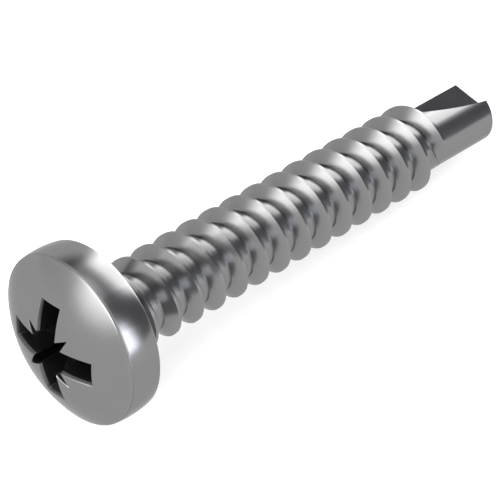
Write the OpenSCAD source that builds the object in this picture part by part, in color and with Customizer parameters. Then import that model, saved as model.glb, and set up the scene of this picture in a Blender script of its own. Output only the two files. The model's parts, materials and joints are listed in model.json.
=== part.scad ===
// Self drilling screw with a pan head, a cross recess with nicks between its wings,
// a tapping thread and a two fluted drill point.
// The screw is drawn along its own axis, with the seat of its head at height 0 and
// the point upwards. It is then laid down on the rim of its head and its last crest.

/* [Head] */
// Largest diameter of the head
head_d = 11; // [10.4:0.1:12]
// Height of the head from its seat to the top of the dome
head_h = 4; // [3.6:0.1:4.6]
// Radius of the dome
dome_r = 9; // [8:0.1:12]
// How far the rim bulges past the edge of the dome
rim_bulge = 0.12; // [0.08:0.01:0.2]
// How far the rim bulges past its foot
rim_tuck = 0.15; // [0.1:0.01:0.25]
// Radius of the rounded edge round the seat
seat_edge_r = 0.25; // [0.1:0.05:0.5]
// Diameter at which the fillet of the neck runs into the seat
neck_flare_d = 6.3; // [6:0.1:6.8]

/* [Recess] */
// Width across the ends of two opposite wings at the mouth
recess_d = 6.55; // [5.6:0.05:7]
// Width of each wing
wing_w = 1.56; // [1.3:0.02:1.7]
// Depth of the recess below the top of the dome
recess_depth = 2.8; // [2.2:0.1:3]
// Half width of the flat middle of the floor
floor_r = 0.9; // [0.7:0.05:1.2]
// Slope of the floor from the wing ends to the middle
floor_slope = 28; // [15:1:35]
// Inward slope of the wing ends
wing_draft = 13; // [4:1:20]
// Diameter across the tips of two opposite nicks at the mouth
nick_d = 4.75; // [4.2:0.05:5.2]
// Angle between the two sides of a nick
nick_angle = 34; // [26:1:46]
// Inward slope of the nick tips
nick_draft = 14; // [6:1:18]

/* [Thread] */
// Outside diameter of the thread
thread_d = 5.5; // [5.3:0.05:5.8]
// Diameter between the threads
root_d = 3.95; // [3.6:0.05:3.95]
// Distance from one thread to the next
pitch = 1.8; // [1.6:0.05:2.1]
// Width of the flat on the crest
crest_w = 0.18; // [0.1:0.02:0.3]
// Slope of each flank from the plane across the axis
flank_slope = 30; // [24:1:34]
// Length from the seat to the middle of the thread's start
thread_start = 1.05; // [0.9:0.05:1.6]
// Number of turns from the start of the thread to its end
thread_turns = 14.68; // [8:0.02:14.8]
// Share of a turn over which the thread grows at the head
run_in = 0.28; // [0.15:0.01:0.6]
// Share of a turn over which the thread fades at the drill point
run_out = 0.16; // [0.1:0.01:0.5]

/* [Drill point] */
// Diameter of the neck and of the drill point
drill_d = 4; // [4:0.05:4.15]
// Length from the end of the thread to the outer corners of the cutting edges
drill_len = 5.03; // [4.4:0.01:7]
// Angle of the point between opposite cutting edges
point_angle = 118; // [100:1:135]
// Radius of the curved flute floor
flute_r = 20.2; // [12:0.1:40]
// Half of the web that the flutes leave where they are deepest
half_web = 0.04; // [0.02:0.01:0.3]
// Distance past the corners at which the curved floor would be deepest
flute_low = 3.1; // [1.8:0.1:4]
// Slope of the short ramp at the start of each flute
ramp_slope = 45; // [30:1:60]

/* [Position] */
// Turn of the thread's start about the axis, from straight down
thread_turn = 48.6; // [0:0.1:360]
// Turn of the recess about the axis, from straight down to a nick
recess_turn = 38.9; // [0:0.1:90]
// Turn of the flutes about the axis, from straight down to a wall
flute_turn = 133.3; // [0:0.1:180]

/* [Hidden] */
$fn = 96;
steps = 48;                             // steps in one turn of the thread

// Head, as an outline of radius and height
rim_r = head_d / 2;
crease_r = rim_r - rim_bulge;
dome_mid = dome_r - head_h;             // height of the middle of the dome's sphere
rim_h = dome_height(crease_r);          // height of the crease between dome and rim
// The rim is one arc. The two tucks settle how its height is shared about its
// widest place, and the lower tuck then gives its radius.
rim_below = -rim_h / (1 + sqrt(rim_bulge / rim_tuck));
rim_above = -rim_h - rim_below;
rim_arc_r = (rim_below * rim_below + rim_tuck * rim_tuck) / (2 * rim_tuck);
rim_mid = [rim_r - rim_arc_r, -rim_below];
rim_low_a = asin((rim_below - seat_edge_r) / (rim_arc_r - seat_edge_r));
rim_top_a = asin(rim_above / rim_arc_r);
edge_mid = rim_mid + (rim_arc_r - seat_edge_r) * [cos(rim_low_a), sin(rim_low_a)];

// Recess
wing_r = recess_d / 2;
mouth_h = dome_height(wing_r);
floor_h = recess_depth - head_h;
above_dome = 1;                         // how far the recess tools stand above the dome

// Thread
root_r = root_d / 2;
crest_r = thread_d / 2;
thread_depth = crest_r - root_r;
thread_steps = round(thread_turns * steps);
thread_end = thread_start + pitch * thread_turns;
full_turns = thread_turns - run_out;
full_end = thread_start + pitch * full_turns;
foot_half = crest_w / 2 + thread_depth * tan(flank_slope);
shank_low = 0.4;
shank_top = full_end + foot_half + 0.1;

// Drill point
drill_r = drill_d / 2;
flare_r = neck_flare_d / 2 - drill_r;
corner_h = thread_end + drill_len;
tip_h = corner_h + drill_r / tan(point_angle / 2);
ramp_h = thread_end + 0.05;

// Rest. The floor touches the rim arc and the lowest place of the last full crest.
down_share = (720 - thread_turn) % 360 / 360;
last_h = thread_start + pitch * (floor(full_turns - down_share) + down_share) + crest_w / 2;
rest_run = [crest_r - rim_mid[0], last_h - rim_mid[1]];
tilt = asin(rim_arc_r / norm(rest_run)) - atan2(rest_run[0], rest_run[1]);
axis_h = crest_r * cos(tilt) + last_h * sin(tilt);
low_x = dome_mid * cos(tilt) - dome_r;
high_x = tip_h * cos(tilt);

// Height of the dome's surface at a distance from the axis
function dome_height(r) = dome_mid - sqrt(dome_r * dome_r - r * r);

// Points along an arc about a middle, from one angle to another
function arc(mid, r, from, to, n) =
    [for (i = [0:n]) let (a = from + (to - from) * i / n) mid + r * [cos(a), sin(a)]];

// Point on the shank at a radius, a turn and a height
function round_axis(r, a, h) = [r * cos(a), r * sin(a), h];

// Height of the thread at one step, as a share of its full height
function growth(i) = min(1, i / steps / run_in, (thread_steps - i) / steps / run_out);

// Four points across the thread at one step: foot, two edges of the crest, foot
function across(i) =
    let (g = growth(i),
         a = thread_turn + 360 * i / steps,
         h = thread_start + pitch * i / steps,
         r = root_r + thread_depth * g,
         flat = crest_w / 4 * (1 + g),
         foot = crest_w / 2 + thread_depth * g * tan(flank_slope))
    [round_axis(root_r, a, h - foot), round_axis(r, a, h - flat),
     round_axis(r, a, h + flat), round_axis(root_r, a, h + foot)];

function ring(h) = [for (i = [0:steps - 1]) round_axis(root_r, thread_turn + 360 * i / steps, h)];

// Places in the list of points: the thread, then the ring below and the ring above
function at(i, j) = 4 * i + j;
function low(i) = at(thread_steps + 1, i % steps);
function top(i) = low(i) + steps;

module head() {
    difference() {
        intersection() {
            rotate_extrude() head_outline();
            translate([0, 0, dome_mid]) sphere(dome_r, $fn = 180);
        }
        rotate([0, 0, recess_turn]) recess();
    }
}

// Half outline of the head and its neck. The rim arc runs on a little past the dome.
module head_outline() {
    neck_top = flare_r + 0.1;
    rim = arc(rim_mid, rim_arc_r, rim_low_a, -rim_top_a - 4, 12);
    polygon(concat(
        [[0, -head_h - 1], [0, neck_top], [drill_r, neck_top]],
        arc([drill_r + flare_r, flare_r], flare_r, 180, 270, 6),
        arc(edge_mid, seat_edge_r, 90, rim_low_a, 5),
        [for (i = [1:12]) rim[i]],
        [[rim[12][0], -head_h - 1]]));
}

// Cross of four wings with a nick in each corner between them
module recess() {
    for (a = [45, 135]) rotate([0, 0, a]) wing_pair();
    for (a = [0:90:270]) rotate([0, 0, a]) nick();
}

// Two opposite wings, with ends that lean in and a floor that slopes to the middle
module wing_pair() {
    lean = tan(wing_draft);
    fall = tan(floor_slope);
    end_h = (floor_h - (wing_r + mouth_h * lean - floor_r) * fall) / (1 - lean * fall);
    end_r = wing_r - (end_h - mouth_h) * lean;
    top_h = -head_h - above_dome;
    top_r = wing_r + (mouth_h - top_h) * lean;
    rotate([90, 0, 0])
    linear_extrude(wing_w, center = true)
    polygon([[-top_r, top_h], [-end_r, end_h], [-floor_r, floor_h],
             [floor_r, floor_h], [end_r, end_h], [top_r, top_h]]);
}

// Narrow groove that points away from the axis
module nick() {
    tip_r = nick_d / 2;
    inward = 1.5;
    start_h = dome_height(tip_r);
    length = (floor_h - start_h - 0.15) / cos(nick_draft);
    half = inward * tan(nick_angle / 2);
    translate([tip_r, 0, start_h])
    rotate([0, -nick_draft, 0])
    translate([0, 0, -above_dome])
    linear_extrude(length + above_dome)
    polygon([[0, 0], [-inward, half], [-inward, -half]]);
}

// Root of the thread with the thread round it
module threaded_shank() {
    n = thread_steps;
    points = concat([for (i = [0:n]) each across(i)], ring(shank_low), ring(shank_top));
    flanks = [for (i = [0:n - 1], j = [0:2]) each [
        [at(i, j), at(i, j + 1), at(i + 1, j)],
        [at(i, j + 1), at(i + 1, j + 1), at(i + 1, j)]]];
    root = [for (i = [0:n - steps - 1])
        [at(i, 3), at(i + steps, 0), at(i + 1 + steps, 0), at(i + 1, 3)]];
    below = [for (i = [0:steps - 2]) [low(i), at(i, 0), at(i + 1, 0), low(i + 1)]];
    above = [for (i = [n - steps + 1:n - 1]) [at(i, 3), top(i), top(i + 1), at(i + 1, 3)]];
    // The strips beside the two ends of the thread take in the points of those ends
    start = [low(steps - 1), at(steps - 1, 0), at(steps, 0),
             at(0, 3), at(0, 2), at(0, 1), at(0, 0), low(0)];
    end = [top(n + 1), at(n - steps + 1, 3), at(n - steps, 3),
           at(n, 0), at(n, 1), at(n, 2), at(n, 3), top(n)];
    caps = [[for (i = [0:steps - 1]) low(i)], [for (i = [steps - 1:-1:0]) top(i)]];
    polyhedron(points, concat(flanks, root, below, above, [start, end], caps), convexity = 10);
}

module drill_blank() {
    blank_low = shank_top - 0.8;
    rotate_extrude()
    polygon([[0, blank_low], [drill_r, blank_low], [drill_r, corner_h], [0, tip_h]]);
}

// Space of one flute: a flat wall through the axis, a curved floor and a short ramp
module flute() {
    reach = drill_r + 1;
    far = 2 * flute_r;
    intersection() {
        translate([half_web + flute_r, 0, corner_h + flute_low])
        rotate([-90, 0, 0])
        cylinder(h = reach, r = flute_r, $fn = 240);
        translate([drill_r, 0, ramp_h])
        rotate([0, -ramp_slope, 0])
        translate([0, -1, -far])
        cube([far, reach + 2, 2 * far]);
    }
}

module screw() {
    color([0.72, 0.72, 0.74])
    translate([-(low_x + high_x) / 2, 0, axis_h])
    rotate([0, 90 + tilt, 0])
    union() {
        head();
        difference() {
            union() {
                threaded_shank();
                drill_blank();
            }
            for (a = [0, 180]) rotate([0, 0, flute_turn + a]) flute();
        }
    }
}

screw();
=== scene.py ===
# %% [markdown]
# # A self drilling screw
# The screw is one piece of bright steel. Its head is forged with a domed top and a cross
# recess, its thread is rolled, and its point is cut like the tip of a twist drill.
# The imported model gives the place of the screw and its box. This lesson makes one finer
# mesh of the same screw from curves and grids, gives it a steel finish, and lights it.

# %% Load the frame
import json
import math
import bpy
import numpy as np
from mathutils import Matrix, Vector


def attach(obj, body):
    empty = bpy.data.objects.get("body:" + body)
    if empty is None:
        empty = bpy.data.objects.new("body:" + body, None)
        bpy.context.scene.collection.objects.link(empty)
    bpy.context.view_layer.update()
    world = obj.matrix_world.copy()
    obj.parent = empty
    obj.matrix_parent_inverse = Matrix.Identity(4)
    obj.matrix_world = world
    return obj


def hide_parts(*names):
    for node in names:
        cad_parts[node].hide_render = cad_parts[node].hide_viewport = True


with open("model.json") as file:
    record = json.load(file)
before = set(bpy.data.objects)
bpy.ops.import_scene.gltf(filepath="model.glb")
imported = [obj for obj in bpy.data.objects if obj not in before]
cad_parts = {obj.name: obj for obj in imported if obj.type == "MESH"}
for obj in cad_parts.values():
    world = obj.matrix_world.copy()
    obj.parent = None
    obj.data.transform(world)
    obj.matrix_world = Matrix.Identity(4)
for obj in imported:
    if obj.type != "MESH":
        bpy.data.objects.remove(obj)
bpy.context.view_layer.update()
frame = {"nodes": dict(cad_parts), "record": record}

MM = 0.001
mounts = {mount["name"]: mount for mount in frame["record"]["mounts"]}
print("the frame holds", sorted(frame["nodes"]), "with the mounts", sorted(mounts))

# %% [markdown]
# ## The screw's own axis
# A screw is easiest to draw along its own axis, with the seat of its head at height 0,
# the dome below and the point above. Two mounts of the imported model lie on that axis, so
# they say where it is when the screw lies on the floor. Every point is worked out in
# millimetres on the axis first and is laid down at the very end.

# %% Place the axis
head_h = 4.0
axis = np.array(mounts["thread"]["axis"])
dome_top = np.array(mounts["drive_recess"]["pos_m"])
seat_middle = dome_top + head_h * MM * axis
across = np.array([0.0, 1.0, 0.0])
down = np.cross(across, axis)


def lay_down(points):
    """Place = seat middle + x along down + y along across + z along the axis, in metres."""
    points = np.asarray(points) * MM
    return (seat_middle + points[..., 0:1] * down + points[..., 1:2] * across
            + points[..., 2:3] * axis)


print("the axis points along", axis.round(4), "from", (seat_middle / MM).round(2), "mm")

# %% [markdown]
# ## Rounded corners
# No edge on a forged or rolled part is perfectly sharp, and the small round along an edge
# is what catches the light. One helper cuts each corner of an outline and puts a true
# arc there. The outline may be a whole stack of outlines at once, as one array.

# %% Round the corners of an outline
shared_side = 0.45
lone_side = 0.95


def round_corners(corners, radius, arc_n, side_at, closed=True):
    """Points along an outline of shape (..., corners, 2) whose corners are arcs.

    Each corner is cut back by its radius times the tangent of half its turn. The arc
    between the two cuts is a rational quadratic curve, with the corner as its middle
    control point and the cosine of half the turn as that point's weight, which makes it
    an exact arc. arc_n says how many points each arc has, and side_at where more points
    lie along each straight side, as shares of what is left of it. A cut takes at most a
    shared part of its side, because the next corner needs some of it too. An open end
    isn't cut and leaves nearly all of its side to its neighbour.
    """
    count = corners.shape[-2]
    share = np.full((2, count, 1), shared_side)
    if not closed:
        share[0, 1] = share[1, -2] = lone_side
    before = np.roll(corners, 1, axis=-2) - corners
    after = np.roll(corners, -1, axis=-2) - corners
    before_len = np.linalg.norm(before, axis=-1, keepdims=True)
    after_len = np.linalg.norm(after, axis=-1, keepdims=True)
    before, after = before / before_len, after / after_len
    inner_angle = np.arccos(np.clip((before * after).sum(-1, keepdims=True), -1, 1))
    half_turn = (math.pi - inner_angle) / 2
    room = np.minimum(before_len * share[0], after_len * share[1])
    cut = np.minimum(np.reshape(radius, (-1, 1)) * np.tan(half_turn), room)
    if not closed:
        ends = np.zeros((count, 1))
        ends[1:-1] = 1
        cut = cut * ends
    enter, leave = corners + before * cut, corners + after * cut
    parts = []
    for i in range(count):
        t = np.linspace(0, 1, arc_n[i])[:, None]
        start, stop = enter[..., i, None, :], leave[..., i, None, :]
        weight = 2 * t * (1 - t) * np.cos(half_turn[..., i, None, :])
        curve = (1 - t) ** 2 * start + weight * corners[..., i, None, :] + t ** 2 * stop
        is_end = not closed and i in (0, count - 1)
        parts.append(corners[..., i:i + 1, :] if is_end
                     else curve / ((1 - t) ** 2 + weight + t ** 2))
        if closed or i < count - 1:
            along = np.reshape(side_at[i], (-1, 1))
            parts.append(stop + (enter[..., (i + 1) % count, None, :] - stop) * along)
    return np.concatenate(parts, axis=-2)


trial_r, trial_n = 0.2, 9
square = np.array([[0.0, 0.0], [1, 0], [1, 1], [0, 1]])
trial = round_corners(square, trial_r, [trial_n] * 4, [[]] * 4)[:trial_n]
stray = np.abs(np.linalg.norm(trial - trial_r, axis=-1) - trial_r).max()
print("a rounded corner of a square strays from its circle by", round(float(stray), 12))

# %% [markdown]
# ## The drive recess
# The recess is a cross of four wings for the driver, with a narrow V nick in each corner
# between them. Seen along the axis, every ray from the middle crosses its wall once. So
# the wall can be a stack of outlines with the same number of points, from the floor up to
# the mouth, and the same points then spread out over the dome. One grid makes recess and
# head, with no boolean cut and no seam at the mouth.

# %% Sizes of the head and its recess
dome_r = 9.0
crease_r = 5.405
recess_d = 6.55
wing_w = 1.56
recess_depth = 2.8
floor_slope = math.radians(28)
flat_floor_r = 0.9
wing_draft = math.radians(13)
nick_d = 4.75
nick_angle = math.radians(34)
nick_draft = math.radians(14)
recess_turn = math.radians(38.9)
corner_r = 0.02

dome_mid = dome_r - head_h
floor_h = recess_depth - head_h
wing_r, wing_half, nick_r = recess_d / 2, wing_w / 2, nick_d / 2
print("the recess is", recess_d, "mm across its wings and", nick_d, "mm across its nicks")


def dome_height(r):
    """Height of the dome: its sphere's middle less the root of radius squared less r squared."""
    return dome_mid - np.sqrt(dome_r ** 2 - r ** 2)


# %% Outline of the recess at several depths
full_turn = 2 * math.pi
wing_n = 4
corner_arc_n = 4
side_points_n = (8, 4, 4, 8, 7)


def recess_outline(reach, half, tip):
    """Outlines of the cross, as an array (depths, points, 2).

    reach is how far a wing goes out, half is half its width and tip is how far a nick goes
    out, each an array over the depths. With a nick along x, a wing's side lies where x
    less y is half times the root of 2, and the nick's side where y is tip less x, times
    the tangent of half the nick's angle, so these two lines give the inner corner.
    """
    reach, half, tip = np.broadcast_arrays(reach, half, tip)
    slope = math.tan(nick_angle / 2)
    inner_x = (half * math.sqrt(2) + tip * slope) / (1 + slope)
    inner = np.stack([inner_x, (tip - inner_x) * slope], -1)
    outer = np.stack([reach + half, reach - half], -1) / math.sqrt(2)
    flip = np.array([1.0, -1.0])
    nick = np.stack([tip, 0 * tip], -1)
    quarter = np.stack([outer * flip, inner * flip, nick, inner, outer], -2)
    turned = []
    for a in recess_turn + np.arange(wing_n) * full_turn / wing_n:
        turn = np.array([[math.cos(a), math.sin(a)], [-math.sin(a), math.cos(a)]])
        turned.append(quarter @ turn)
    corners = np.concatenate(turned, -2)
    sides = [np.arange(1, n + 1) / (n + 1) for n in side_points_n]
    return round_corners(corners, corner_r, [corner_arc_n] * corners.shape[-2], sides * wing_n)


mouth = recess_outline([wing_r], [wing_half], [nick_r])[0]
print("an outline of the recess has", len(mouth), "points")

# %% [markdown]
# On its way down the wall leans in at the ends of the wings and at the nicks, and the
# floor of each wing climbs outwards. Near the mouth the punch leaves a steep narrow bevel
# with a small round lip, and that lip is where a thin bright line shows. At the nicks the
# bevel is only a third as wide and deep, because the punch's ribs are thin there.

# %% Rows of the recess, from its floor up to its lip
bevel_w = 0.10
bevel_depth = 0.24
bevel_foot_r = 0.03
lip_r = 0.06
lip_run = 0.3
lip_shift = 0.02
nick_share = 0.3
nick_reach = math.radians(11)
least_wing = 0.5
least_tip = 1.6


def angle_off_nick(x, y):
    """Angle between a point's direction and the nearest nick: nicks are a right angle apart."""
    bearing = np.arctan2(y, x) - recess_turn
    return np.abs((bearing + math.pi / 4) % (math.pi / 2) - math.pi / 4)


wall_share = np.array([1, 0.95, 0.89, 0.82, 0.74, 0.65, 0.55, 0.44, 0.34, 0.25, 0.18])
mouth_h = float(dome_height(wing_r))
nominal_h = mouth_h + (floor_h - mouth_h) * wall_share
end_reach = wing_r - np.tan(wing_draft) * (nominal_h - mouth_h)
floor_reach = flat_floor_r + (floor_h - nominal_h) / math.tan(floor_slope)
wall_reach = np.maximum(np.minimum(end_reach, floor_reach), wing_half + least_wing)
wall_tip = np.maximum(nick_r - np.tan(nick_draft) * (nominal_h - mouth_h), wing_half * least_tip)

# A nick's tip moves by the step of its two sides over the sine of half their angle.
nick_spread = nick_share / math.sin(nick_angle / 2)
wall = recess_outline(wall_reach - bevel_w, wing_half - bevel_w, wall_tip - bevel_w * nick_spread)
mouth_top = dome_height(np.linalg.norm(mouth, axis=-1))
wall_z = mouth_top + (floor_h - mouth_top) * wall_share[:, None]

lip_corners = np.array([[-bevel_w, 2 * bevel_depth], [-bevel_w, bevel_depth], [0, 0], [lip_run, 0]])
lip_section = round_corners(lip_corners, [0, bevel_foot_r, lip_r, 0], [1, 4, 4, 1],
                            [[], [0.5, 0.85], []], closed=False)[1:-1]
push, sink = lip_section[:, 0] + lip_shift, lip_section[:, 1:]
lip = recess_outline(wing_r + push, wing_half + push, nick_r + push * nick_spread)
at_nick = angle_off_nick(lip[-1, :, 0], lip[-1, :, 1]) < nick_reach
lip_z = dome_height(np.linalg.norm(lip, axis=-1)) + sink * np.where(at_nick, nick_share, 1)
print("the recess has", len(wall) + len(lip), "rows of", len(mouth), "points")

# %% [markdown]
# ## The rest of the head
# From the lip the points run straight out to the crease, where the dome meets the rim, and
# their heights are read off the dome's sphere. A small round blends the crease. The rim,
# the rounded edge of the seat, the seat and the fillet of the neck are all arcs in one
# half outline turned about the axis. The rim's arc bulges past the crease and tucks in at
# the seat, and the roots of these two amounts share out its height about its widest place.

# %% Rows of the dome, the rim and the neck
rim_bulge = 0.081
rim_tuck = 0.12
seat_edge_r = 0.12
neck_r = 2.0
neck_flare_d = 6.3
crease_round = 0.18
neck_stop_h = 0.55
dome_stop = 0.14
crease_start = 0.12
rim_start_a = 0.03
crease_n, rim_n, seat_edge_n, flare_n = 7, 12, 7, 8


def arc(mid, radius, from_angle, to_angle, count):
    """Points on a circle: middle + radius times the cosine and sine of even angles."""
    a = np.linspace(from_angle, to_angle, count)
    return np.stack([mid[0] + radius * np.cos(a), mid[1] + radius * np.sin(a)], -1)


out_share = np.array([0.04, 0.1, 0.18, 0.28, 0.39, 0.5, 0.61, 0.72, 0.82, 0.91, 0.97])[:, None, None]
lip_edge = lip[-1]
columns = np.unwrap(np.arctan2(lip_edge[:, 1], lip_edge[:, 0]))
ring = np.stack([np.cos(columns), np.sin(columns)], -1)
dome = lip_edge + (crease_r - dome_stop) * out_share * ring - lip_edge * out_share
dome_z = dome_height(np.linalg.norm(dome, axis=-1))

rim_r = crease_r + rim_bulge
rim_h = float(dome_height(crease_r))
rim_below = -rim_h / (1 + math.sqrt(rim_bulge / rim_tuck))
rim_above = -rim_h - rim_below
rim_arc_r = (rim_below ** 2 + rim_tuck ** 2) / (2 * rim_tuck)
rim_mid = (rim_r - rim_arc_r, -rim_below)
rim_low_a = math.asin((rim_below - seat_edge_r) / (rim_arc_r - seat_edge_r))
rim_top_a = -math.asin(rim_above / rim_arc_r)
edge_mid = (rim_mid[0] + (rim_arc_r - seat_edge_r) * math.cos(rim_low_a),
            rim_mid[1] + (rim_arc_r - seat_edge_r) * math.sin(rim_low_a))
flare_r = neck_flare_d / 2 - neck_r
flare_stop_a = math.pi + math.asin((flare_r - neck_stop_h) / flare_r)

rim = arc(rim_mid, rim_arc_r, rim_top_a + rim_start_a, rim_low_a, rim_n)
before_crease = [crease_r - crease_start, float(dome_height(crease_r - crease_start))]
crease = round_corners(np.array([before_crease, [crease_r, rim_h], rim[0]]),
                       crease_round, [1, crease_n, 1], [[], []], closed=False)
seat_edge = arc(edge_mid, seat_edge_r, rim_low_a, math.pi / 2, seat_edge_n)
flare = arc((neck_r + flare_r, flare_r), flare_r, 1.5 * math.pi, flare_stop_a, flare_n)
half_outline = np.concatenate([crease[:-1], rim, seat_edge[1:], flare])
print("the head is", round(2 * half_outline[:, 0].max(), 3), "mm across and", head_h, "mm high")

# %% Stack the rows of the head
def turn_outline(outline, angles):
    """Every point (r, h) of an outline at every angle: x, y = r times cosine, sine; z = h."""
    r, h = outline[:, 0:1], outline[:, 1:2]
    return np.stack([r * np.cos(angles), r * np.sin(angles), h + 0 * angles], -1)


head_rows = np.concatenate([
    np.concatenate([wall, wall_z[..., None]], -1),
    np.concatenate([lip, lip_z[..., None]], -1),
    np.concatenate([dome, dome_z[..., None]], -1),
    turn_outline(half_outline, columns)])
print("head rows and points", head_rows.shape[:2])

# %% [markdown]
# ## The thread
# A rolled thread is a ridge that winds round the shank once a pitch. Its section has a
# narrow flat crest and two flanks that lean 34 degrees, and the root dips a hair where the
# die pressed hardest, at the foot of the flank that faces the head. Sweeping that section
# along the helix gives a long ribbon. Its foot on one turn and its foot on the next are
# joined by a strip of root, so crests, flanks and root share their points.

# %% Sizes of the thread
thread_d = 5.498
root_d = 4.06
pitch = 1.8
crest_w = 0.18
flank_slope = math.radians(34)
thread_start = 1.05
thread_turns = 14.68
run_in = 0.28
run_out = 0.16
thread_turn = math.radians(48.6)
foot_drop = 0.010
foot_round = 0.03
foot_run = 0.30
taper = 0.5

crest_r, root_r = thread_d / 2, root_d / 2
thread_depth = crest_r - root_r
thread_stop = thread_start + pitch * thread_turns
print("the thread is", thread_d, "mm over its crests and stops", thread_stop, "mm from the seat")


def core_radius(h):
    """Radius between the threads: the neck's fillet, then the root, then the drill's own."""
    fillet = neck_r + flare_r - np.sqrt(flare_r ** 2 - (flare_r - np.clip(h, 0, flare_r)) ** 2)
    plain = np.interp(h, [flare_r, flare_r + taper, thread_stop - 2 * taper, thread_stop - taper],
                      [neck_r, root_r, root_r, neck_r])
    return np.where(h < flare_r, fillet, plain)


# %% Sweep the section of the thread along its helix
least_run = 0.2
section_arc_n = [1, 1, 1, 1, 4, 1]
# More points lie close to both ends of a side, so that an edge bends only beside itself.
section_side_at = [[0.9], [0.05, 0.95], [0.1, 0.9], [0.05, 0.95], [0.1]]


def thread_ribbon(angles):
    """Points of the thread's section at each angle, as an array (steps, points, 3).

    The middle of the crest is at the start plus the pitch times the turns so far. The
    section's height grows from nothing over the first part of a turn and fades at the
    end. Its foot is wider than half the crest by its height times the flank's tangent.
    Its six corners are the edge of the root, the foot and the crest's edge on the side
    of the head, and the same three on the side of the point.
    """
    turns = (angles - thread_turn) / full_turn
    last = turns[-1]
    grown = np.minimum((turns - turns[0]) / run_in, (last - turns) / run_out)
    grown = np.clip(grown, 0, 1)
    middle = thread_start + pitch * turns
    flat = crest_w / 4 * (1 + grown)
    foot = crest_w / 2 + thread_depth * grown * math.tan(flank_slope)
    edge = foot + foot_run * (least_run + (1 - least_run) * grown)
    top = core_radius(middle) + (crest_r - core_radius(middle)) * grown
    heights = middle[:, None] + np.stack([-edge, -foot, -flat, flat, foot, edge], -1)
    radii = core_radius(heights)
    radii[:, 1] = radii[:, 1] - foot_drop * grown
    radii[:, 2] = radii[:, 3] = top
    corners = np.stack([radii, heights], -1)
    rounds = [0, 0, 0, 0, foot_round, 0]
    section = round_corners(corners, rounds, section_arc_n, section_side_at, closed=False)
    r, h = section[..., 0], section[..., 1]
    a = angles[:, None]
    return np.stack([r * np.cos(a), r * np.sin(a), h], -1)


column_n = len(columns)
order = np.argsort((columns - thread_turn) % full_turn)
turn_angles = thread_turn + np.sort((columns - thread_turn) % full_turn)
all_angles = (turn_angles + full_turn * np.arange(math.ceil(thread_turns))[:, None]).ravel()
thread_angles = all_angles[all_angles <= thread_turn + full_turn * thread_turns]
ribbon = thread_ribbon(thread_angles)
print("the thread has", len(thread_angles), "steps of", ribbon.shape[1], "points")

# %% [markdown]
# ## The drill point
# Past the thread the shank is a plain cylinder with a cone of 118 degrees on its end, as
# on a twist drill. Two flutes are cut into it afterwards.

# %% Rows of the drill
drill_len = 5.03
point_angle = math.radians(118)
foot_gap = 0.05
cylinder_n = 12
cone_share = np.array([0.2, 0.45, 0.7, 0.88, 0.97])

corner_h = thread_stop + drill_len
tip_h = corner_h + neck_r / math.tan(point_angle / 2)
foot_half = crest_w / 2 + thread_depth * math.tan(flank_slope)
drill_low_h = thread_stop - pitch * run_out + foot_half + foot_run + foot_gap
cylinder_h = np.linspace(drill_low_h, corner_h, cylinder_n)
drill_outline = np.concatenate([
    np.stack([neck_r + 0 * cylinder_h, cylinder_h], -1),
    np.stack([neck_r * (1 - cone_share), corner_h + (tip_h - corner_h) * cone_share], -1)])
drill_rows = turn_outline(drill_outline, columns)
print("the corners of the point are", round(corner_h, 3), "mm from the seat, the tip", round(tip_h, 3))

# %% [markdown]
# ## One closed mesh
# The pieces above are grids whose rows share their columns. The faces between two rows
# are worked out from a table of point numbers. Only the two places where the thread
# starts and ends need a face of many sides, because there the ribbon meets a level ring.

# %% Helpers that join grids
def point_numbers(rows, first):
    """Numbers of a grid's points, counted row after row from the first."""
    return first + np.arange(rows[..., 0].size).reshape(rows.shape[:2])


def grid_faces(numbers):
    """Faces of a grid of point numbers (rows, columns) that closes on itself round the axis."""
    right = np.roll(numbers, -1, axis=1)
    quads = np.stack([numbers[:-1], right[:-1], right[1:], numbers[1:]], -1)
    return quads.reshape(-1, 4)


def strip_faces(low, high):
    """Faces between two open runs of point numbers of the same length."""
    return np.stack([low[:-1], low[1:], high[1:], high[:-1]], -1)


head_n = point_numbers(head_rows, 0)
ribbon_n = point_numbers(ribbon, head_n.size)
drill_n = point_numbers(drill_rows, head_n.size + ribbon_n.size)
pole_n = head_n.size + ribbon_n.size + drill_n.size
print("the grids have", head_n.size, ribbon_n.size, "and", drill_n.size, "points")

# %% Join the grids
foot_low, foot_high = ribbon_n[:, 0], ribbon_n[:, -1]
below = head_n[-1][order]
above = drill_n[0][order]
end = len(thread_angles) - 1
above = above[np.arange(end - column_n, end + 1) % column_n]

ribbon_strips = [strip_faces(*pair) for pair in zip(ribbon_n.T[:-1], ribbon_n.T[1:])]
quads = np.concatenate([
    grid_faces(head_n), grid_faces(drill_n), *ribbon_strips,
    strip_faces(foot_high[:end - column_n + 1], foot_low[column_n:]),
    strip_faces(below, foot_low[:column_n]),
    strip_faces(foot_high[end - column_n + 1:], above[1:])])
start_face = [below[-1], below[0], *ribbon_n[0], foot_low[column_n], foot_low[column_n - 1]]
end_face = [foot_high[end - column_n], foot_high[end - column_n + 1], above[1], above[0],
            *ribbon_n[end][::-1]]
floor_fan = np.stack([np.full(column_n, pole_n), np.roll(head_n[0], -1), head_n[0]], -1)
tip_fan = np.stack([drill_n[-1], np.roll(drill_n[-1], -1), np.full(column_n, pole_n + 1)], -1)
points = np.concatenate([head_rows.reshape(-1, 3), ribbon.reshape(-1, 3), drill_rows.reshape(-1, 3),
                         [[0, 0, floor_h], [0, 0, tip_h]]])
faces = [*quads.tolist(), start_face, end_face, *floor_fan.tolist(), *tip_fan.tolist()]


def add_mesh(name, points, faces):
    """A mesh object at the origin whose points are laid down from the screw's own axis."""
    mesh = bpy.data.meshes.new(name)
    mesh.from_pydata(lay_down(points).tolist(), [], faces)
    mesh.validate()
    made = bpy.data.objects.new(name, mesh)
    bpy.context.scene.collection.objects.link(made)
    return made


screw = add_mesh("screw_steel", points, faces)
print("the blank has", len(screw.data.vertices), "points and", len(screw.data.polygons), "faces")

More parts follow.
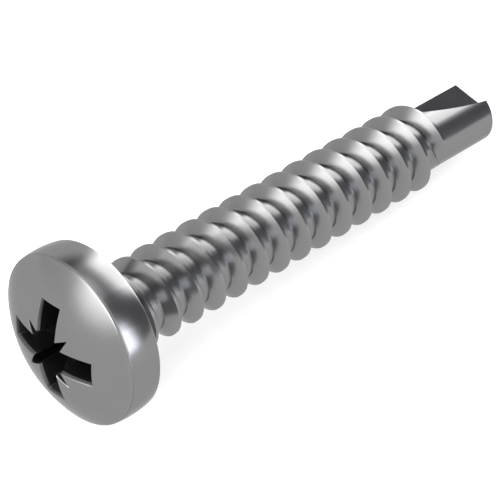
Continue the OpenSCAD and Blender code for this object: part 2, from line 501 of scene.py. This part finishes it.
# %% [markdown]
# ## The flutes
# A flute is the space that the cutter sweeps: a flat wall through the axis, a floor that
# is a shallow arc along the screw, and a short ramp where the cutter came in. Each is a
# closed prism whose section is that floor, and a boolean modifier takes both away.

# %% Section of a flute
flute_r = 20.2
half_web = 0.04
flute_low = 3.1
ramp_slope = math.radians(45)
ramp_start = 0.05
spare = 1.0
search_n = 3001
floor_n = 60
least_rise = 1e-6

flute_mid_h = corner_h + flute_low
ramp_h = thread_stop + ramp_start


def ramp_floor(h):
    """Distance of the ramp from the axis: the neck's radius less height times the slope's tangent."""
    return neck_r - (h - ramp_h) * math.tan(ramp_slope)


def flute_floor(h):
    """Distance of the floor from the axis: the arc of the cutter, or the ramp if further."""
    dish = half_web + flute_r - np.sqrt(flute_r ** 2 - (h - flute_mid_h) ** 2)
    return np.maximum(dish, ramp_floor(h))


# The ramp is straight, so it needs no points between its start and where the arc takes over.
search_h = np.linspace(ramp_h - spare, ramp_h + 2 * spare, search_n)
ramp_end_h = float(search_h[np.argmax(flute_floor(search_h) - ramp_floor(search_h) > least_rise)])
floor_h_run = np.concatenate([[ramp_h - spare], np.linspace(ramp_end_h, tip_h + spare, floor_n)])
flute_section = np.concatenate([
    np.stack([flute_floor(floor_h_run), floor_h_run], -1),
    [[neck_r + 2 * spare, tip_h + spare], [neck_r + 2 * spare, ramp_h - spare]]])
print("the ramp of a flute ends", round(ramp_end_h - ramp_h, 3), "mm past its start")

# %% Cut the flutes
flute_turn = math.radians(133.3)
flute_reach = neck_r + spare

section_n = len(flute_section)
cutter_points, cutter_faces = [], []
for flute, a in enumerate((flute_turn, flute_turn + math.pi)):
    for reach in (0.0, flute_reach):
        cutter_points.append(np.stack([
            flute_section[:, 0] * math.cos(a) - reach * math.sin(a),
            flute_section[:, 0] * math.sin(a) + reach * math.cos(a), flute_section[:, 1]], -1))
    near = np.arange(section_n) + 2 * flute * section_n
    near_loop = np.append(near, near[0])
    around = strip_faces(near_loop, near_loop + section_n)
    cutter_faces += around.tolist() + [near[::-1].tolist(), (near + section_n).tolist()]
cutter = add_mesh("flute_cutter", np.concatenate(cutter_points), cutter_faces)

cut = screw.modifiers.new("flutes", "BOOLEAN")
cut.operation = "DIFFERENCE"
cut.solver = "EXACT"
cut.object = cutter
bpy.context.view_layer.update()
shape = bpy.data.meshes.new_from_object(screw.evaluated_get(bpy.context.evaluated_depsgraph_get()))
screw.modifiers.clear()
screw.data = shape
bpy.data.objects.remove(cutter)
print("with its flutes the screw has", len(shape.vertices), "points")

# %% [markdown]
# ## Smooth faces and crisp edges
# Faces are shaded smooth, but where two meet at more than a set angle the edge stays
# crisp. The bend of a smooth edge spreads over the faces beside it, and those faces are
# narrow because every side of an outline has a point close to each end.

# %% Shade the screw
crisp_angle = math.radians(32)
shape.shade_smooth()
shape.set_sharp_from_angle(angle=crisp_angle)
crisp = np.empty(len(shape.edges), dtype=bool)
shape.edges.foreach_get("use_edge_sharp", crisp)
print("of the edges", crisp.sum(), "are crisp and", (~crisp).sum(), "are smooth")

# %% [markdown]
# ## Painted shade, painted highlights and worn crests
# The colour of the steel has painted shade in the recess, at the foot of the thread's
# flanks and along a line just outside the crease, and painted highlights along the crease
# and the lip of the recess, while the crests are lighter where they are worn. All of these
# depend only on where a point is and which way it faces, so they are worked out once for
# every point of the finished mesh and stored on it as numbers from 0 to 1, which the
# material then reads by name.

# %% Measure the surface
def smooth_step(start, stop, value):
    """0 below start, 1 above stop, and 3 t squared less 2 t cubed for the share t between."""
    t = np.clip((value - start) / (stop - start), 0, 1)
    return t * t * (3 - 2 * t)


def read_vectors(mesh, name):
    """One vector for each point of the mesh: its place as co, or its normal."""
    values = np.empty(len(mesh.vertices) * 3)
    mesh.vertices.foreach_get(name, values)
    return values.reshape(-1, 3)


def store(mesh, name, values):
    """Keeps one number for each point of the mesh under a name."""
    kept = mesh.attributes.new(name, "FLOAT", "POINT")
    kept.data.foreach_set("value", np.asarray(values, dtype=np.float32))
    print(name, "covers", round(float(np.mean(values)), 3), "of the points")


place = (read_vectors(shape, "co") - seat_middle) / MM
x, y, h = place @ down, place @ across, place @ axis
r = np.hypot(x, y)
print("the points go from", h.min().round(3), "to", h.max().round(3), "mm along the axis")

# %% [markdown]
# The recess gets painted shade: its colour is darkened where little light would find its
# way in and none would come back from its floor. The wall of a nick is painted darker than
# that of a wing, and the painted shade starts right under the lip.

# %% The painted shade of the recess
head_stop_h = -0.4
mouth_margin = 0.2
nick_dark, wing_dark = 0.92, 0.58
floor_facing = (0.3, 0.7)
lip_fade, deep_fade = (0.02, 0.08), (0.22, 0.3)
lip_dark, deep_dark = 0.8, 0.2

in_head = h < head_stop_h
facing_out = -(read_vectors(shape, "normal") @ axis)
depth = h - dome_height(np.minimum(r, dome_r))
in_mouth = in_head & (r < wing_r + mouth_margin)
wall_dark = np.where(angle_off_nick(x, y) < nick_reach, nick_dark, wing_dark)
floor_dark = smooth_step(*floor_facing, facing_out) * (depth > bevel_depth)
darkest = wall_dark + (1 - wall_dark) * floor_dark
deeper = lip_dark * smooth_step(*lip_fade, depth) + deep_dark * smooth_step(*deep_fade, depth)
# Painted shade: this number darkens the colour of the recess, most on the nick walls and the floor.
store(shape, "recess", in_mouth * deeper * darkest)

# %% [markdown]
# A point's place in the thread's section is its height less that of the crest's middle at
# its angle, in parts of a pitch from minus a half to a half. The corner at a flank's foot
# gets painted shade and is a little rougher, and a thin line just outside the crease gets a
# painted dark reflection and is rougher too. The crests are lighter where they are worn,
# and the crease and the lip of the recess get painted highlights.

# %% The painted shade at the thread's foot and the painted dark line by the crease
shank_start_h = 0.4
shank_margin = 0.3
inner_r = 2.6
foot_fade = (0.02, 0.22)
line_start, line_stop = (0.02, 0.08), (0.1, 0.15)
line_inner = 0.05

section_at = (h - thread_start) / pitch - (np.arctan2(y, x) - thread_turn) / full_turn
section_at = np.abs(section_at - np.round(section_at)) * pitch
in_thread = (h > shank_start_h) & (h < thread_stop + shank_margin) & (r < inner_r)
# Painted shade at the foot of each flank: the colour there is darkened, and it is a little rougher.
store(shape, "foot_painted_shade", in_thread * (1 - smooth_step(*foot_fade, np.abs(section_at - foot_half))))
below_crease = h - rim_h
at_line = smooth_step(*line_start, below_crease) * (1 - smooth_step(*line_stop, below_crease))
# Painted dark reflection: a thin line just outside the crease gets a darker colour, and it is rougher
# too.
store(shape, "painted_crease_line", at_line * in_head * (r > crease_r - line_inner))

# %% The worn crests and the painted highlights on the crease and the lip
crest_fade = (0.06, 0.01)
crease_highlight_at, crease_highlight_w = 0.05, 0.07
lip_highlight_start, lip_highlight_stop = (0.002, 0.03), (0.06, 0.2)

crests = smooth_step(crest_r - crest_fade[0], crest_r - crest_fade[1], r) * (h > shank_start_h)
crease_painted_highlight = np.exp(-((r - crease_r + crease_highlight_at) / crease_highlight_w) ** 2)
crease_painted_highlight = crease_painted_highlight * (below_crease < 0) * in_head
lip_painted_highlight = in_mouth * smooth_step(*lip_highlight_start, depth) * (1 - smooth_step(*lip_highlight_stop, depth))
# The crests are lighter from wear; the crease and the lip of the recess get painted highlights.
store(shape, "wear_and_painted_highlight", np.clip(crests + crease_painted_highlight + lip_painted_highlight, 0, 1))

# %% [markdown]
# ## The steel
# Bright zinc over steel is smooth and grey, with soft reflections. Close by it is never
# one flat grey: crystals of zinc give it a grain a tenth of a millimetre across, and the
# bath leaves clouds that are a little paler and duller. Two noises make them. The stored
# numbers paint shade into the recess, at the thread's foot and along the line by the
# crease, paint highlights on the crease and the lip, and lighten the worn crests.

# %% Start the steel with two noises
cloud_size = 1.6 * MM
grain_size = 0.09 * MM
cloud_detail, grain_detail = 3, 2


def add_node(tree, kind, **values):
    """A new node whose inputs are set by index from values such as i0=1.0, other names by setattr."""
    node = tree.nodes.new(kind)
    for name, value in values.items():
        if name[0] == "i" and name[1:].isdigit():
            node.inputs[int(name[1:])].default_value = value
        else:
            setattr(node, name, value)
    return node


def add_noise(tree, where, size, detail):
    """Noise from 0 to 1 whose blots are about as wide as the size, at the object's own scale."""
    noise = add_node(tree, "ShaderNodeTexNoise")
    tree.links.new(where, noise.inputs["Vector"])
    noise.inputs["Scale"].default_value = 1 / size
    noise.inputs["Detail"].default_value = detail
    return noise.outputs["Fac"]


steel = bpy.data.materials.new("bright_steel")
steel.use_nodes = True
tree = steel.node_tree
shader = tree.nodes["Principled BSDF"]
place_on_screw = add_node(tree, "ShaderNodeTexCoord").outputs["Object"]
cloud = add_noise(tree, place_on_screw, cloud_size, cloud_detail)
grain = add_noise(tree, place_on_screw, grain_size, grain_detail)
masks = {name: add_node(tree, "ShaderNodeAttribute", attribute_name=name).outputs["Fac"]
         for name in ("recess", "foot_painted_shade", "painted_crease_line", "wear_and_painted_highlight")}
print("the steel starts with", [node.name for node in tree.nodes])

# %% Colour of the steel
steel_grey = 0.2635
steel_blue = 1.01
base_tone, cloud_tone, grain_tone = 0.965, 0.07, 0.05
# Wear lightens the crests and painted highlights the crease and lip; painted shade darkens the thread's
# foot, and a painted dark line runs by the crease.
tone_changes = {"wear_and_painted_highlight": 0.06, "foot_painted_shade": -0.1, "painted_crease_line": -0.12}
recess_painted_shade = 0.94


def add_math(tree, operation, *sources):
    """A Math node fed by sockets or numbers; returns its output."""
    node = add_node(tree, "ShaderNodeMath", operation=operation)
    for i, source in enumerate(sources):
        if isinstance(source, bpy.types.NodeSocket):
            tree.links.new(source, node.inputs[i])
        else:
            node.inputs[i].default_value = source
    return node.outputs[0]


tone = add_math(tree, "ADD", add_math(tree, "MULTIPLY_ADD", cloud, cloud_tone, base_tone),
                add_math(tree, "MULTIPLY_ADD", grain, grain_tone, -grain_tone / 2))
for name, change in tone_changes.items():
    tone = add_math(tree, "MULTIPLY_ADD", masks[name], change, tone)
# Painted shade: the recess takes up to recess_painted_shade off the colour.
tone = add_math(tree, "MULTIPLY", tone,
                add_math(tree, "MULTIPLY_ADD", masks["recess"], -recess_painted_shade, 1.0))
tint = add_node(tree, "ShaderNodeVectorMath", operation="SCALE",
                i0=(steel_grey, steel_grey, steel_grey * steel_blue))
tree.links.new(tone, tint.inputs["Scale"])
tree.links.new(tint.outputs[0], shader.inputs["Base Color"])
print("the colour of the steel is fed by", len(tree.nodes), "nodes")

# %% Roughness and grain of the steel
base_rough, cloud_rough = 0.17, 0.06
rough_changes = {"wear_and_painted_highlight": -0.02, "recess": 0.3, "foot_painted_shade": 0.03, "painted_crease_line": 0.3}
grain_height = 0.0003 * MM
edge_tint = 0.7

rough = add_math(tree, "MULTIPLY_ADD", cloud, cloud_rough, base_rough)
for name, change in rough_changes.items():
    rough = add_math(tree, "MULTIPLY_ADD", masks[name], change, rough)
tree.links.new(rough, shader.inputs["Roughness"])
bump = add_node(tree, "ShaderNodeBump")
bump.inputs["Distance"].default_value = grain_height
tree.links.new(grain, bump.inputs["Height"])
tree.links.new(bump.outputs["Normal"], shader.inputs["Normal"])
shader.inputs["Metallic"].default_value = 1.0
shader.inputs["Specular Tint"].default_value = (edge_tint, edge_tint, edge_tint, 1)
shape.materials.clear()
shape.materials.append(steel)
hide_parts("screw")
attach(screw, "root")
print("the steel has", len(tree.nodes), "nodes")

# %% [markdown]
# ## The camera
# The photograph was matched with a long lens that looks down on the screw, with its head
# nearest. The camera is placed by the point it aims at, its azimuth and its elevation.

# %% Camera
azimuth = math.radians(-44.215)
elevation = math.radians(44.228)
roll = math.radians(0.065)
aim = Vector((-2.841, -0.3215, 3.5)) * MM
distance = 136.649 * MM
lens_mm = 162.097
sensor_mm = 36
clip_near = 0.01

right = Vector((math.cos(azimuth), math.sin(azimuth), 0))
back = Vector((math.sin(azimuth) * math.cos(elevation), -math.cos(azimuth) * math.cos(elevation),
               math.sin(elevation)))
up = back.cross(right)
camera = bpy.data.objects.new("camera", bpy.data.cameras.new("camera"))
bpy.context.scene.collection.objects.link(camera)
camera.data.lens = lens_mm
camera.data.sensor_width = sensor_mm
camera.data.clip_start = clip_near
turned_right = right * math.cos(roll) + up * math.sin(roll)
turned_up = up * math.cos(roll) - right * math.sin(roll)
stand = aim + back * distance
camera.matrix_world = Matrix([[turned_right[i], turned_up[i], back[i], stand[i]] for i in range(3)]
                             + [[0, 0, 0, 1]])
bpy.context.scene.camera = camera
print("the camera stands at", [round(value / MM, 1) for value in stand], "mm")

# %% [markdown]
# ## The studio
# Polished metal shows what stands round it, so the light is designed as a set of soft
# cards: bright ones make the highlights, and dark ones give the metal its contrast. Each
# card is a patch of the world, placed by the direction in which the screw sees it. One
# node group works out how much of a direction a card covers, and every card reuses it.
# The first card lies under all the others, and the window is a little blue, as daylight is.

# %% Node group of a soft card
def add_dot(tree, a, b):
    """Dot product of two vector sockets."""
    node = add_node(tree, "ShaderNodeVectorMath", operation="DOT_PRODUCT")
    tree.links.new(a, node.inputs[0])
    tree.links.new(b, node.inputs[1])
    return node.outputs["Value"]


def soft_card_group():
    """Cover = smooth step of how far the direction lies inside the card, each way.

    The angle across is the arc tangent of direction . across over direction . centre, and
    the angle up is found the same way. Both are in radians, as are the half sizes.
    """
    group = bpy.data.node_groups.new("soft_card", "ShaderNodeTree")
    for name in ("Direction", "Centre", "Across", "Up"):
        group.interface.new_socket(name, in_out="INPUT", socket_type="NodeSocketVector")
    for name in ("Half Width", "Half Height", "Softness"):
        group.interface.new_socket(name, in_out="INPUT", socket_type="NodeSocketFloat")
    group.interface.new_socket("Cover", in_out="OUTPUT", socket_type="NodeSocketFloat")
    given, result = group.nodes.new("NodeGroupInput"), group.nodes.new("NodeGroupOutput")
    ahead = add_dot(group, given.outputs["Direction"], given.outputs["Centre"])
    covers = []
    for way, half in (("Across", "Half Width"), ("Up", "Half Height")):
        off = add_dot(group, given.outputs["Direction"], given.outputs[way])
        angle = add_math(group, "ABSOLUTE", add_math(group, "ARCTAN2", off, ahead))
        edge = add_node(group, "ShaderNodeMapRange", interpolation_type="SMOOTHSTEP")
        soft = given.outputs["Softness"]
        group.links.new(angle, edge.inputs["Value"])
        group.links.new(add_math(group, "SUBTRACT", given.outputs[half], soft), edge.inputs["From Min"])
        group.links.new(add_math(group, "ADD", given.outputs[half], soft), edge.inputs["From Max"])
        edge.inputs["To Min"].default_value = 1.0
        edge.inputs["To Max"].default_value = 0.0
        covers.append(edge.outputs["Result"])
    front = add_math(group, "GREATER_THAN", ahead, 0.0)
    cover = add_math(group, "MULTIPLY", add_math(group, "MULTIPLY", *covers), front)
    group.links.new(cover, result.inputs["Cover"])
    return group


card_group = soft_card_group()
print("the group of a soft card has", len(card_group.nodes), "nodes")

# %% The cards, from the one underneath to the one on top
wall_level = 0.97
cards = {
    "window": dict(azimuth=-73, elevation=16, half=(13, 16), soft=7, level=5.0, tint=(0.9, 0.92, 1)),
    "dark_strip": dict(azimuth=-9.8, elevation=8.8, half=(46.8, 60), soft=8, level=0.19,
                       tint=(0.96, 0.97, 1.06)),
    "key": dict(azimuth=12.8, elevation=8.6, half=(24.4, 36.3), soft=8, level=5.64),
    "dark_card": dict(azimuth=88, elevation=44, half=(36.7, 12.8), soft=17.3, level=0),
    "fill": dict(azimuth=180.3, elevation=60.4, half=(24.2, 46.1), soft=16.8, level=3.94),
    "top_strip": dict(azimuth=8.4, elevation=74.5, half=(22.1, 2.1), soft=6.3, level=0),
    "grey_card": dict(azimuth=114.6, elevation=23.7, half=(21.7, 60), soft=30, level=0.85),
    "edge_glow": dict(azimuth=-152, elevation=35, half=(9, 13), soft=5, level=5.5),
    "gap": dict(azimuth=-106, elevation=58, half=(9, 28), soft=5, level=0.1),
    "key_top": dict(azimuth=9.7, elevation=37.9, half=(18.7, 11.5), soft=13.1, level=3.27),
}
print("the studio has", len(cards), "soft cards")

# %% The studio as a world
scene = bpy.context.scene
scene.view_settings.view_transform = "Standard"
white = (1, 1, 1)

world = bpy.data.worlds.new("studio")
scene.world = world
world.use_nodes = True
tree = world.node_tree
background = tree.nodes["Background"]
direction = add_node(tree, "ShaderNodeTexCoord").outputs["Generated"]


def add_card(tree, colour, azimuth, elevation, half, soft, level, tint=white):
    """Mixes one card over the colour so far. Azimuth 0 is +X and the centre is a unit vector."""
    a, e = math.radians(azimuth), math.radians(elevation)
    centre = Vector((math.cos(a) * math.cos(e), math.sin(a) * math.cos(e), math.sin(e)))
    across_card = Vector((-math.sin(a), math.cos(a), 0))
    card = add_node(tree, "ShaderNodeGroup", node_tree=card_group)
    tree.links.new(direction, card.inputs["Direction"])
    card.inputs["Centre"].default_value = centre
    card.inputs["Across"].default_value = across_card
    card.inputs["Up"].default_value = centre.cross(across_card)
    card.inputs["Half Width"].default_value = math.radians(half[0])
    card.inputs["Half Height"].default_value = math.radians(half[1])
    card.inputs["Softness"].default_value = math.radians(soft)
    mix = add_node(tree, "ShaderNodeMix", data_type="RGBA")
    tree.links.new(card.outputs["Cover"], mix.inputs["Factor"])
    tree.links.new(colour, mix.inputs["A"])
    mix.inputs["B"].default_value = (*[level * c for c in tint], 1)
    return mix.outputs["Result"]


walls = add_node(tree, "ShaderNodeRGB")
walls.outputs[0].default_value = (wall_level, wall_level, wall_level, 1)
studio = walls.outputs[0]
for card in cards.values():
    studio = add_card(tree, studio, **card)
paths = add_node(tree, "ShaderNodeLightPath")
seen = add_node(tree, "ShaderNodeMix", data_type="RGBA")
tree.links.new(paths.outputs["Is Camera Ray"], seen.inputs["Factor"])
tree.links.new(studio, seen.inputs["A"])
seen.inputs["B"].default_value = (*white, 1)
tree.links.new(seen.outputs["Result"], background.inputs["Color"])
print("the world has", len(tree.nodes), "nodes")

# %% [markdown]
# ## The floor
# A plain sheet of white paper. Part of its white comes from the light that falls on it,
# so that the screw leaves a soft shadow, and the rest is its own. Metal sees plain white.

# %% Floor
floor_half = 2.0
paper_colour = 0.55
paper_glow = 0.62
floor_mesh = bpy.data.meshes.new("floor")
floor_mesh.from_pydata([(-floor_half, -floor_half, 0), (floor_half, -floor_half, 0),
                        (floor_half, floor_half, 0), (-floor_half, floor_half, 0)], [], [(0, 1, 2, 3)])
floor = bpy.data.objects.new("floor", floor_mesh)
scene.collection.objects.link(floor)
paper = bpy.data.materials.new("paper")
paper.use_nodes = True
tree = paper.node_tree
tree.nodes.clear()
lit = add_node(tree, "ShaderNodeBsdfDiffuse", i0=(paper_colour, paper_colour, paper_colour, 1))
glow = add_node(tree, "ShaderNodeEmission", i1=paper_glow)
plain = add_node(tree, "ShaderNodeEmission", i1=1.0)
both = add_node(tree, "ShaderNodeAddShader")
shown = add_node(tree, "ShaderNodeMixShader")
paths = add_node(tree, "ShaderNodeLightPath")
mirror = add_math(tree, "MAXIMUM", paths.outputs["Is Glossy Ray"],
                  paths.outputs["Is Transmission Ray"])
tree.links.new(lit.outputs[0], both.inputs[0])
tree.links.new(glow.outputs[0], both.inputs[1])
tree.links.new(mirror, shown.inputs[0])
tree.links.new(both.outputs[0], shown.inputs[1])
tree.links.new(plain.outputs[0], shown.inputs[2])
surface = add_node(tree, "ShaderNodeOutputMaterial")
tree.links.new(shown.outputs[0], surface.inputs["Surface"])
floor_mesh.materials.append(paper)
print("the floor is", 2 * floor_half, "m across")
